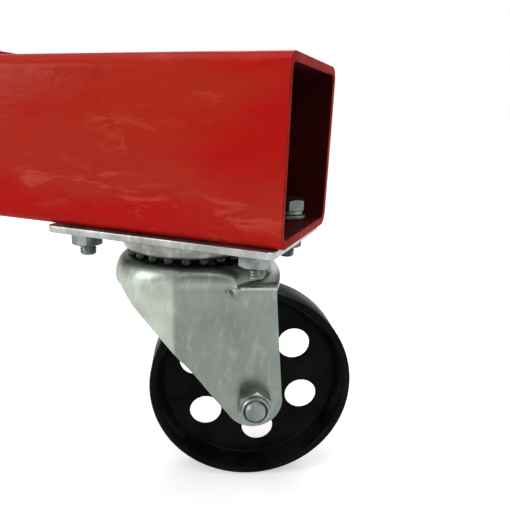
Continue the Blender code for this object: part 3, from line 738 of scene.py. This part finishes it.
def wheel_mesh():
    """About its own middle, axle along Y, six round holes in the web."""
    web, edge, hub = 1.7, 15.5, 27.4
    inner, outer = 18.5, 52.5
    hole, circle, first = 10.4, 36.8, 40.6
    shapes = []
    rim = [(outer, web), (53.6, web + 0.1), (54.3, web + 0.9), (54.9, web + 1.2), (55.3, web + 2.0),
           (56.6, 7.5), (57.9, 12.0), (58.8, 14.6), (59.6, 15.4), (60.4, edge), (61.3, edge),
           (62.4, 15.1), (63.1, 14.4), (63.5, 13.2)]
    profile = rim + [(r, -h) for r, h in reversed(rim)]
    shapes.append(lathe(profile, 96, closed=False))
    bore = 8.3
    boss = [(inner, web), (17.4, web + 0.4), (16.7, web + 1.3), (16.3, web + 3.0), (15.6, hub - 1.0),
            (15.3, hub - 0.3), (14.6, hub), (bore + 0.8, hub), (bore, hub - 0.8)]
    shapes.append(lathe(boss + [(r, -h) for r, h in reversed(boss)], 36, closed=False))
    for number in range(6):
        turn = math.radians(60 * number)
        outline = []
        for i in range(16):
            a = math.radians(-30 + 60 * i / 16)
            outline.append((outer * math.cos(a), outer * math.sin(a)))
        for i in range(5):
            r = outer + (inner - outer) * i / 5
            outline.append((r * math.cos(math.pi / 6), r * math.sin(math.pi / 6)))
        for i in range(6):
            a = math.radians(30 - 60 * i / 6)
            outline.append((inner * math.cos(a), inner * math.sin(a)))
        for i in range(5):
            r = inner + (outer - inner) * i / 5
            outline.append((r * math.cos(math.pi / 6), -r * math.sin(math.pi / 6)))
        rings = [[(x, y, web) for x, y in outline]]
        for part in (0.35, 0.7):
            ring = []
            for x, y in outline:
                a = math.atan2(y, x - circle)
                hx, hy = circle + (hole + 1.2) * math.cos(a), (hole + 1.2) * math.sin(a)
                ring.append((x + (hx - x) * part, y + (hy - y) * part, web))
            rings.append(ring)
        for grow, h in ((1.2, web), (0.75, web - 0.1), (0.3, web - 0.4), (0.0, web - 0.9)):
            ring = []
            for x, y in outline:
                a = math.atan2(y, x - circle)
                ring.append((circle + (hole + grow) * math.cos(a), (hole + grow) * math.sin(a), h))
            rings.append(ring)
        rings += [[(x, y, -h) for x, y, h in ring] for ring in reversed(rings)]
        shapes.append(moved(loft(rings), Matrix.Rotation(turn, 4, "Z")))
    stand = Matrix.Rotation(math.radians(90), 4, "X") @ Matrix.Rotation(math.radians(first), 4, "Z")
    # the lathe's seams fall on the sectors' edges, which lie 30 degrees from the holes
    turned = []
    for shape in shapes[:2]:
        turned.append(moved(shape, stand @ Matrix.Rotation(math.radians(-30), 4, "Z")))
    turned += [moved(shape, stand) for shape in shapes[2:]]
    return fine(turned, "wheel", angle=32.0, weld=2e-6)


# Swivel race, balls and plate

def race_mesh():
    plate = slab(round_corners(PLATE_LENGTH, PLATE_WIDTH, 5.0), PLATE_BOTTOM, PLATE_TOP, 0.7)
    section = [
        (24.0, 0.5), (42.2, 0.3), (41.2, -0.2), (40.3, -0.9), (40.0, -2.0), (39.9, -3.4), (39.3, -4.6),
        (38.8, -5.4), (38.6, -6.3), (38.1, -7.4), (37.2, -8.4), (36.3, -8.9), (35.4, -9.0), (34.9, -8.6),
        (34.6, -7.6), (31.0, -6.0), (24.0, -5.0),
    ]
    race = lathe([(radius, PLATE_BOTTOM + below) for radius, below in section], 96)
    return fine([plate, tinted(race, 1)], "top_plate")


def balls_mesh():
    outline = []
    for k in range(9):
        b = math.pi * k / 8 - math.pi / 2
        outline.append((max(BALL_RADIUS * math.cos(b), 0.001), BALL_RADIUS * math.sin(b)))
    ball = lathe(outline, 16, closed=False)
    shapes = []
    for i in range(22):
        a = 2 * math.pi * i / 22
        place = Matrix.Translation((RING_RADIUS * math.cos(a), RING_RADIUS * math.sin(a), -14.6))
        shapes.append(moved(ball, place))
    return fine(shapes, "balls")


# Fasteners

def plate_bolt_mesh():
    floor = BEAM_WALL + TOUCH
    seat = PLATE_BOTTOM - TOUCH
    shapes = [
        threaded(5.0, 1.5, -19.2, seat - 1.0),
        rod(4.9, seat - 1.2, floor + 5.0),
        washer(10.0, 5.3, floor, floor + 2.0),
        washer(8.6, 5.3, floor + 2.3, floor + 4.7),
        hexagonal(17.0, floor + 4.9, floor + 11.3, 0.0, low_cut=0.0),
        washer(10.2, 5.3, seat - 1.2, seat),
        hexagonal(17.0, seat - 8.3, seat - 1.2, 5.0, 1.0, 0.4),
    ]
    return fine(shapes, "plate_bolt", angle=30.0)


def along_y(shape):
    """From a shape built up +Z to the same shape pointing to -Y."""
    return moved(shape, Matrix.Rotation(math.radians(90), 4, "X"))


def axle_bolt_mesh():
    shapes = [
        along_y(moved(threaded(6.0, 1.75, -46.0, -30.0), Matrix.Rotation(math.pi, 4, "X"))),
        along_y(rod(5.9, -31.8, 30.5)),
        along_y(moved(hexagonal(18.0, 31.8, 39.2, 0.0, low_cut=0.0), Matrix.Rotation(math.pi, 4, "X"))),
    ]
    return fine(shapes, "axle_bolt", angle=30.0)


def axle_nut_mesh():
    nut = hexagonal(18.0, 31.8, 40.6, 6.0, 0.3, 1.0)
    collar = lathe(
        [(6.9, 40.2), (8.75, 40.2), (8.75, 42.2), (8.45, 43.2), (7.9, 43.7), (7.3, 43.7), (6.9, 43.2)], 48)
    insert = lathe([(6.05, 41.0), (6.95, 41.0), (6.95, 43.0), (6.5, 43.25), (6.05, 43.0)], 48)
    nut = moved(nut, Matrix.Rotation(math.radians(24), 4, "Z"))
    return fine([along_y(nut), along_y(collar), tinted(along_y(insert), 1)], "axle_nut", angle=30.0)


def head_mesh(flats, head, rise, reach):
    """A bolt head on its washer, its underside at the origin, with a stub of shank below."""
    shapes = [
        washer(flats * 0.62, flats * 0.3, 0.1, rise),
        hexagonal(flats, rise, rise + head, 0.0, low_cut=0.0),
        rod(flats * 0.3, -reach, rise + 0.1),
    ]
    return fine(shapes, "bolt_head", angle=30.0)


# Frame pieces

def base_beam_mesh():
    """Square tube along X about its own middle: round corners, broken cut edges, an inner weld seam."""
    end = BEAM_LENGTH / 2
    inner = BEAM_SIDE - 2 * BEAM_WALL

    def loop(side, corner, x):
        return [(x, y, z) for y, z in round_corners(side, side, corner, 8)]

    rings = [
        loop(BEAM_SIDE, BEAM_CORNER, -end + 0.5), loop(BEAM_SIDE, BEAM_CORNER, end - 0.5),
        loop(BEAM_SIDE - 0.3, BEAM_CORNER - 0.15, end - 0.15), loop(BEAM_SIDE - 1.0, BEAM_CORNER - 0.5, end),
        loop(inner + 0.8, 4.4, end), loop(inner, 4.0, end - 0.4),
        loop(inner, 4.0, -end + 0.4), loop(inner + 0.8, 4.4, -end),
        loop(BEAM_SIDE - 1.0, BEAM_CORNER - 0.5, -end),
        loop(BEAM_SIDE - 0.3, BEAM_CORNER - 0.15, -end + 0.15),
    ]
    points, faces = loft(rings, along=True)
    n = len(rings[0])
    outside = [f for i, f in enumerate(faces) if i // n in (0, 1, 9)]
    inside = [f for i, f in enumerate(faces) if 5 * n <= i < 6 * n]
    cut = [f for i, f in enumerate(faces) if i // n in (2, 3, 4, 6, 7, 8)]
    seam = []
    for x in (1.0 - end, end - 1.0):
        seam.append([(x, 12 + 1.6 * math.cos(a), inner / 2 + 0.5 - 1.3 * math.sin(a))
                     for a in (0, 0.8, 1.57, 2.34, 3.14)])
    strip = loft(seam, around=False)
    shapes = [(points, outside), (points, inside, 1), (points, cut, 2), tinted(strip, 1)]
    return fine(shapes, "base_beam")


def square_path(length, width, corner, z, plane="XY"):
    path = []
    for a, b in round_corners(length, width, corner, 3):
        path.append((a, b, z) if plane == "XY" else (z, a, b))
    return path


def clamp_mesh():
    """Beam clamp at +X of the flange, on the saddle: spacer, clamp plate, bolt and nut."""
    low = FLANGE + TOUCH
    flange = low + 5.8
    spacer = slab([(39.0, -16.0), (58.0, -16.0), (58.0, 16.0), (39.0, 16.0)], low, flange + 0.2, 0.6)
    strap = slab([(24.5, -17.5), (58.5, -17.5), (58.5, 17.5), (24.5, 17.5)], flange + 2.2, flange + 10.2, 1.0)
    packer = slab([(38.5, -17.0), (58.3, -17.0), (58.3, 17.0), (38.5, 17.0)], flange + 0.2, flange + 2.2, 0.3)
    place = Matrix.Translation((48.0, 0.0, 0.0))
    bolt = [
        moved(washer(11.5, 6.2, flange + 10.2, flange + 12.0), place),
        moved(hexagonal(19.0, flange + 12.0, flange + 19.5, 0.0, low_cut=0.0), place),
        moved(threaded(6.0, 1.75, -18.0, 0.2), place),
        moved(rod(5.9, 0.0, flange + 11.0), place),
        moved(washer(11.5, 6.2, -2.1, -0.3), place),
        moved(hexagonal(19.0, -12.1, -2.1, 6.0, 1.0, 0.2), place),
    ]
    iron = [spacer, strap, packer]
    return fine(iron + [tinted(s, 1) for s in bolt], "beam_clamp", angle=30.0)


# Camera

def put_camera():
    yaw, pitch, roll = math.radians(-21.2976), math.radians(16.9487), math.radians(1.8857)
    forward = Vector((math.sin(yaw) * math.cos(pitch), math.cos(yaw) * math.cos(pitch), -math.sin(pitch)))
    right = Vector((math.cos(yaw), -math.sin(yaw), 0))
    up = right.cross(forward)
    across = math.cos(roll) * right + math.sin(roll) * up
    above = -math.sin(roll) * right + math.cos(roll) * up
    data = bpy.data.cameras.new("camera")
    data.sensor_width = 36.0
    data.lens = 37.587
    data.shift_x = 0.03
    data.shift_y = 0.05
    data.clip_start = 0.01
    data.clip_end = 100.0
    camera = bpy.data.objects.new("camera", data)
    axes = Matrix((across, above, -forward)).transposed().to_4x4()
    camera.matrix_world = Matrix.Translation((0.721375, 0.720102, 0.225435)) @ axes
    bpy.context.scene.collection.objects.link(camera)
    bpy.context.scene.camera = camera


def seen(nodes, links):
    """1 for rays that show the background: camera, glossy and transmission."""
    path = nodes.new("ShaderNodeLightPath")
    total = path.outputs["Is Camera Ray"]
    for name in ("Is Glossy Ray", "Is Transmission Ray"):
        add = nodes.new("ShaderNodeMath")
        add.operation = "MAXIMUM"
        links.new(total, add.inputs[0])
        links.new(path.outputs[name], add.inputs[1])
        total = add.outputs[0]
    return total


def put_world(level):
    world = bpy.data.worlds.new("studio")
    bpy.context.scene.world = world
    world.use_nodes = True
    nodes, links = world.node_tree.nodes, world.node_tree.links
    light = nodes["Background"]
    light.inputs["Color"].default_value = (1, 1, 1, 1)
    light.inputs["Strength"].default_value = level
    white = nodes.new("ShaderNodeBackground")
    white.inputs["Color"].default_value = (1, 1, 1, 1)
    white.inputs["Strength"].default_value = 1.0
    mix = nodes.new("ShaderNodeMixShader")
    links.new(seen(nodes, links), mix.inputs[0])
    links.new(light.outputs[0], mix.inputs[1])
    links.new(white.outputs[0], mix.inputs[2])
    links.new(mix.outputs[0], nodes["World Output"].inputs["Surface"])


def put_floor(lift):
    found = bmesh.new()
    bmesh.ops.create_grid(found, x_segments=1, y_segments=1, size=40.0)
    mesh = bpy.data.meshes.new("floor")
    found.to_mesh(mesh)
    found.free()
    floor = bpy.data.objects.new("floor", mesh)
    floor.location.z = -0.0005
    bpy.context.scene.collection.objects.link(floor)
    material = bpy.data.materials.new("pale_floor")
    material.use_nodes = True
    nodes, links = material.node_tree.nodes, material.node_tree.links
    shader = nodes["Principled BSDF"]
    shader.inputs["Base Color"].default_value = (0.82, 0.82, 0.82, 1)
    shader.inputs["Roughness"].default_value = 0.9
    shader.inputs["Specular IOR Level"].default_value = 0.1
    glow = nodes.new("ShaderNodeEmission")
    glow.inputs["Color"].default_value = (1, 1, 1, 1)
    strength = nodes.new("ShaderNodeMath")
    strength.operation = "MULTIPLY"
    strength.inputs[1].default_value = lift
    links.new(seen(nodes, links), strength.inputs[0])
    links.new(strength.outputs[0], glow.inputs["Strength"])
    add = nodes.new("ShaderNodeAddShader")
    links.new(shader.outputs[0], add.inputs[0])
    links.new(glow.outputs[0], add.inputs[1])
    white = nodes.new("ShaderNodeEmission")
    white.inputs["Color"].default_value = (1, 1, 1, 1)
    where = nodes.new("ShaderNodeTexCoord")
    away = nodes.new("ShaderNodeVectorMath")
    away.operation = "LENGTH"
    links.new(where.outputs["Object"], away.inputs[0])
    fade = nodes.new("ShaderNodeMapRange")
    fade.interpolation_type = "SMOOTHSTEP"
    fade.inputs["From Min"].default_value = 1.6
    fade.inputs["From Max"].default_value = 4.5
    links.new(away.outputs["Value"], fade.inputs["Value"])
    beyond = nodes.new("ShaderNodeMath")
    beyond.operation = "MULTIPLY"
    links.new(fade.outputs["Result"], beyond.inputs[0])
    links.new(seen(nodes, links), beyond.inputs[1])
    mix = nodes.new("ShaderNodeMixShader")
    links.new(beyond.outputs[0], mix.inputs[0])
    links.new(add.outputs[0], mix.inputs[1])
    links.new(white.outputs[0], mix.inputs[2])
    links.new(mix.outputs[0], nodes["Material Output"].inputs["Surface"])
    mesh.materials.append(material)


def put_lamp(name, place, target, size, power):
    data = bpy.data.lights.new(name, "AREA")
    data.shape = "RECTANGLE"
    data.size, data.size_y = size
    data.energy = power
    lamp = bpy.data.objects.new(name, data)
    lamp.location = place
    lamp.rotation_euler = (Vector(target) - Vector(place)).to_track_quat("-Z", "Y").to_euler()
    lamp.visible_camera = False
    bpy.context.scene.collection.objects.link(lamp)


# The crane

def build_caster(letter, angle):
    low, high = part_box(f"caster_{letter}_kingpin")
    middle = (low + high) / 2
    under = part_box("base_beam_back")[0].z
    fixed = Matrix.Translation((middle.x, middle.y, under))
    swung = fixed @ Matrix.Rotation(math.radians(angle), 4, "Z")
    axle = swung @ Matrix.Translation((TRAIL * MM, 0, AXLE_Z * MM))
    name = f"caster_{letter}"
    swivel = f"{name}_swivel"
    piece(f"{name}_race_plate", PLATE_MESH, [ZINC, RACE_ZINC_PAINTED_SHADE], "base", [f"{name}_top_plate"],
          fixed)
    piece(f"{name}_balls", BALLS, [BALL], "base", (), fixed)
    for i, (x, y) in enumerate(CORNERS, start=1):
        place = fixed @ Matrix.Translation((x * BOLT_X * MM, y * BOLT_Y * MM, 0))
        place = place @ Matrix.Rotation(math.radians(11 + 37 * i), 4, "Z")
        piece(f"{name}_bolt_set_{i}", PLATE_BOLT, [FASTENER], "base",
              [f"{name}_plate_bolt_{i}"], place)
    piece(f"{name}_pressed_fork", FORK, [FORK_ZINC], swivel, [f"{name}_fork"], swung)
    piece(f"{name}_axle", AXLE_BOLT, [FASTENER], swivel, [f"{name}_axle_bolt"], axle)
    piece(f"{name}_lock_nut", AXLE_NUT, [FASTENER, NYLON], swivel,
          [f"{name}_axle_nut"], axle)
    piece(f"{name}_cast_wheel", WHEEL, [IRON], f"{name}_wheel", [f"{name}_wheel"], axle)


def build_brace(side, hand, way, y):
    """Bolts through the foot tab, and the weld beads where the brace meets its two tabs."""
    low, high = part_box(f"brace_{side}_{hand}")
    foot_x = way * (max(abs(low.x), abs(high.x)) - TAB_HALF * MM)
    head_x = way * (POST_SIDE / 2 + TAB + TOUCH) * MM
    tab_top = low.z + TAB * MM
    head_z = high.z - TAB_HALF * MM
    for i, shift in enumerate((-36 * way, 31 * way), start=1):
        place = Matrix.Translation((foot_x + shift * MM, y, tab_top))
        piece(f"brace_foot_bolt_{side}_{hand}_{i}", SMALL_HEAD, [FASTENER], "base", (),
              place @ Matrix.Rotation(math.radians(13 * i), 4, "Z"))
    across = BRACE_SIDE + WELD_ROOM
    spread = BRACE_SIDE / math.cos(math.radians(BRACE_LEAN)) + WELD_ROOM
    weld = fine([bead(square_path(spread, across, 5.0, 0.4), 2.0, 21 + way)], "brace_weld")
    piece(f"brace_foot_weld_{side}_{hand}", weld, [RED], "base", (),
          Matrix.Translation((foot_x - way * FOOT_SHIFT * MM, y, tab_top)))
    tall = BRACE_SIDE / math.sin(math.radians(BRACE_LEAN)) + WELD_ROOM
    weld = fine([bead(square_path(across, tall, 5.0, way * 0.4, "YZ"), 2.0, 31 + way)], "brace_weld")
    piece(f"brace_head_weld_{side}_{hand}", weld, [RED], "base", (),
          Matrix.Translation((head_x, y, head_z - HEAD_DROP * MM)))


def build_side(side):
    low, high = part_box(f"base_beam_{side}")
    middle = (low + high) / 2
    piece(f"base_tube_{side}", BEAM, [RED, INSIDE, CUT], "base", [f"base_beam_{side}"],
          Matrix.Translation(middle))
    foot = Matrix.Translation((0, middle.y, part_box(f"outer_post_{side}")[0].z + FLANGE * MM))
    path = square_path(POST_SIDE + WELD_ROOM, POST_SIDE + WELD_ROOM, 6.0, 0.6)
    weld = fine([bead(path, 2.6, 11 + middle.y)], "post_weld")
    piece(f"post_weld_{side}", weld, [RED], "base", (), foot)
    for i, (x, y) in enumerate(CORNERS, start=1):
        place = foot @ Matrix.Translation((x * POST_BOLT_X * MM, y * POST_BOLT_Y * MM, 0))
        place = place @ Matrix.Rotation(math.radians(17 * i), 4, "Z")
        piece(f"post_bolt_{side}_{i}", HEAD, [FASTENER], "base", (), place)
    build_brace(side, "right", 1, middle.y)
    build_brace(side, "left", -1, middle.y)


def build_saddle(side):
    """The weld under the saddle plate, and the four clamps that hold the lifting beam on it."""
    low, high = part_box(f"inner_post_{side}")
    y = (low.y + high.y) / 2
    saddle = high.z - FLANGE * MM
    path = square_path(INNER_POST_SIDE + WELD_ROOM, INNER_POST_SIDE + WELD_ROOM, 6.0, -0.6)
    weld = fine([bead(path, 2.4, 41 + y)], "saddle_weld")
    piece(f"saddle_weld_{side}", weld, [RED], "lifting_frame", (),
          Matrix.Translation((0, y, saddle)))
    number = 1
    for turn in (0.0, math.pi):
        for shift in (-CLAMP_Y, CLAMP_Y):
            place = Matrix.Translation((0, y + shift * MM, saddle)) @ Matrix.Rotation(turn, 4, "Z")
            piece(f"beam_clamp_{side}_{number}", CLAMP, [RED, FASTENER], "lifting_frame", (),
                  place)
            number += 1


put_camera()
put_world(0.42)
put_floor(0.42)
put_lamp("key", (-2.6, -2.7, 1.9), (0.2, 0.4, 0.5), (3.4, 2.4), 120)
put_lamp("fill", (3.4, -2.2, 2.4), (0.2, 0.2, 0.6), (2.4, 2.4), 45)
put_lamp("back", (0.6, 4.2, 2.8), (0.0, 0.0, 0.7), (3.0, 2.0), 60)
put_lamp("top", (0.0, 0.0, 5.0), (0.0, 0.0, 0.0), (4.0, 4.0), 100)

# CAD nodes whose shape is right keep it and get the finish of their slot
for row in RECORD["subparts"]:
    node = NODES[row["node"]]
    node.data.materials.clear()
    node.data.materials.append(FINISH[row["material_slot"]])

FORK = fork_mesh()
WHEEL = wheel_mesh()
PLATE_MESH = race_mesh()
BALLS = balls_mesh()
PLATE_BOLT = plate_bolt_mesh()
AXLE_BOLT = axle_bolt_mesh()
AXLE_NUT = axle_nut_mesh()
for letter, angle in PARKED.items():
    build_caster(letter, angle)

BEAM = base_beam_mesh()
HEAD = head_mesh(19.0, 7.5, 2.2, 10.0)
SMALL_HEAD = head_mesh(17.0, 6.4, 2.0, 8.0)
for side in ("back", "front"):
    build_side(side)

CLAMP = clamp_mesh()
for side in ("back", "front"):
    build_saddle(side)

scene = bpy.context.scene
scene.view_settings.view_transform = "Standard"
bpy.context.view_layer.update()
